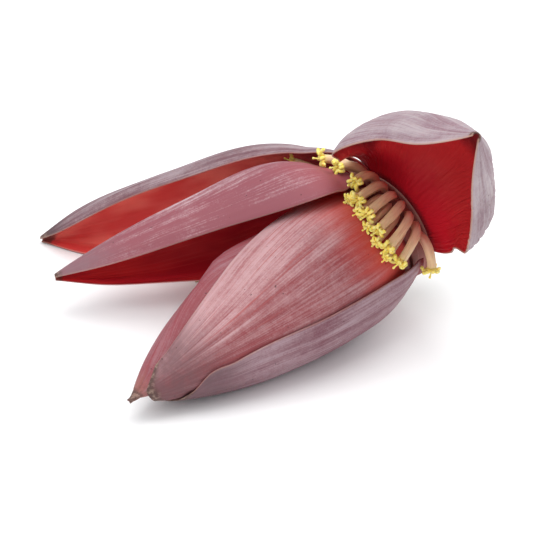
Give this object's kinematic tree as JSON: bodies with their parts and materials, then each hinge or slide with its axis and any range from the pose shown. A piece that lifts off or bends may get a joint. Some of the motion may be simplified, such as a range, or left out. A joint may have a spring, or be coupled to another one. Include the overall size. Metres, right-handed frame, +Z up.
{
  "type": "banana blossom",
  "caption": "Banana blossom lying on its belly: a closed purple-red bud with outer bracts swung open and a hand of yellow-tipped flowers under the raised one.",
  "frame": {"origin": "middle of the footprint's bounding box, on the surface it lies on", "axes": "+Z up, +X from the bud's tip towards the cut stem, +Y towards the side where the open bracts point"},
  "size_m": [0.2576, 0.3696, 0.2188],
  "materials": {
    "bract": "satin, waxy bloom over lengthwise veins",
    "young_bracts": "satin",
    "stem": "matte, cut face",
    "flower_tube": "satin",
    "flower_tip": "matte, curled lobes"
  },
  "bodies": {
    "root": {"stem": "stem", "bud_heart": "young_bracts", "bract_inner_wrap": "bract", "bract_front": "bract", "bract_outer_wrap": "bract", "bract_open_near": "bract", "bract_open_far": "bract", "bract_raised": "bract", "flower_01": "flower_tube", "flower_01_tip": "flower_tip", "flower_02": "flower_tube", "flower_02_tip": "flower_tip", "flower_03": "flower_tube", "flower_03_tip": "flower_tip", "flower_04": "flower_tube", "flower_04_tip": "flower_tip", "flower_05": "flower_tube", "flower_05_tip": "flower_tip", "flower_06": "flower_tube", "flower_06_tip": "flower_tip", "flower_07": "flower_tube", "flower_07_tip": "flower_tip", "flower_08": "flower_tube", "flower_08_tip": "flower_tip", "flower_09": "flower_tube", "flower_09_tip": "flower_tip", "flower_10": "flower_tube", "flower_10_tip": "flower_tip", "flower_11": "flower_tube", "flower_11_tip": "flower_tip", "flower_12": "flower_tube", "flower_12_tip": "flower_tip", "flower_13": "flower_tube", "flower_13_tip": "flower_tip", "flower_14": "flower_tube", "flower_14_tip": "flower_tip", "flower_15": "flower_tube", "flower_15_tip": "flower_tip", "flower_fallen": "flower_tube", "flower_fallen_tip": "flower_tip"}
  },
  "joints": []
}
